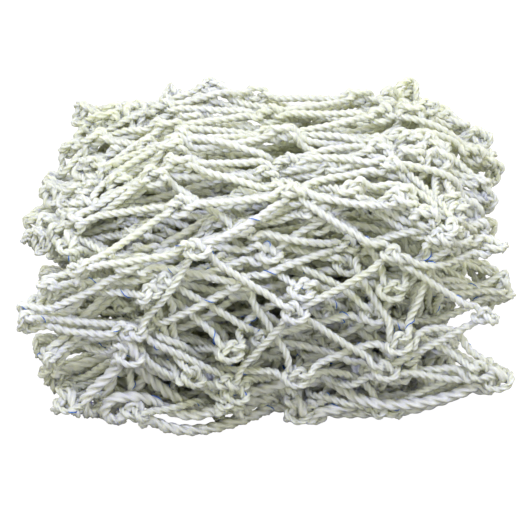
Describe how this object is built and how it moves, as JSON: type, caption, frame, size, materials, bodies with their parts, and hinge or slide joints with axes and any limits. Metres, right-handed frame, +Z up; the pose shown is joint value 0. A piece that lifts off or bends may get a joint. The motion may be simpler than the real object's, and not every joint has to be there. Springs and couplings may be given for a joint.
{
  "type": "tennis net",
  "caption": "Bale of white knotted diamond-mesh tennis netting, folded back and forth along its length into flat passes, with a heavier selvedge cord on each long edge.",
  "frame": {"origin": "middle of the bale's underside, on the surface that it lies on", "axes": "+Z up, -Y towards the side that the picture shows, X along the folded passes, which is the longest side"},
  "size_m": [0.2008, 0.1363, 0.0998],
  "materials": {
    "twine": "satin",
    "selvedge": "satin",
    "knots": "satin"
  },
  "bodies": {
    "root": {"netting_twine_01": "twine", "netting_twine_02": "twine", "netting_twine_03": "twine", "netting_twine_04": "twine", "netting_twine_05": "twine", "netting_twine_06": "twine", "netting_twine_07": "twine", "netting_twine_08": "twine", "netting_twine_09": "twine", "netting_twine_10": "twine", "netting_twine_11": "twine", "netting_twine_12": "twine", "netting_twine_13": "twine", "netting_twine_14": "twine", "netting_twine_15": "twine", "netting_twine_16": "twine", "netting_twine_17": "twine", "netting_twine_18": "twine", "front_selvedge_cord": "selvedge", "back_selvedge_cord": "selvedge", "front_selvedge_knots": "knots", "back_selvedge_knots": "knots", "knot_row_01": "knots", "knot_row_02": "knots", "knot_row_03": "knots", "knot_row_04": "knots", "knot_row_05": "knots", "knot_row_06": "knots", "knot_row_07": "knots", "knot_row_08": "knots", "knot_row_09": "knots", "knot_row_10": "knots", "knot_row_11": "knots", "knot_row_12": "knots", "knot_row_13": "knots", "knot_row_14": "knots", "knot_row_15": "knots", "knot_row_16": "knots", "knot_row_17": "knots"}
  },
  "joints": []
}
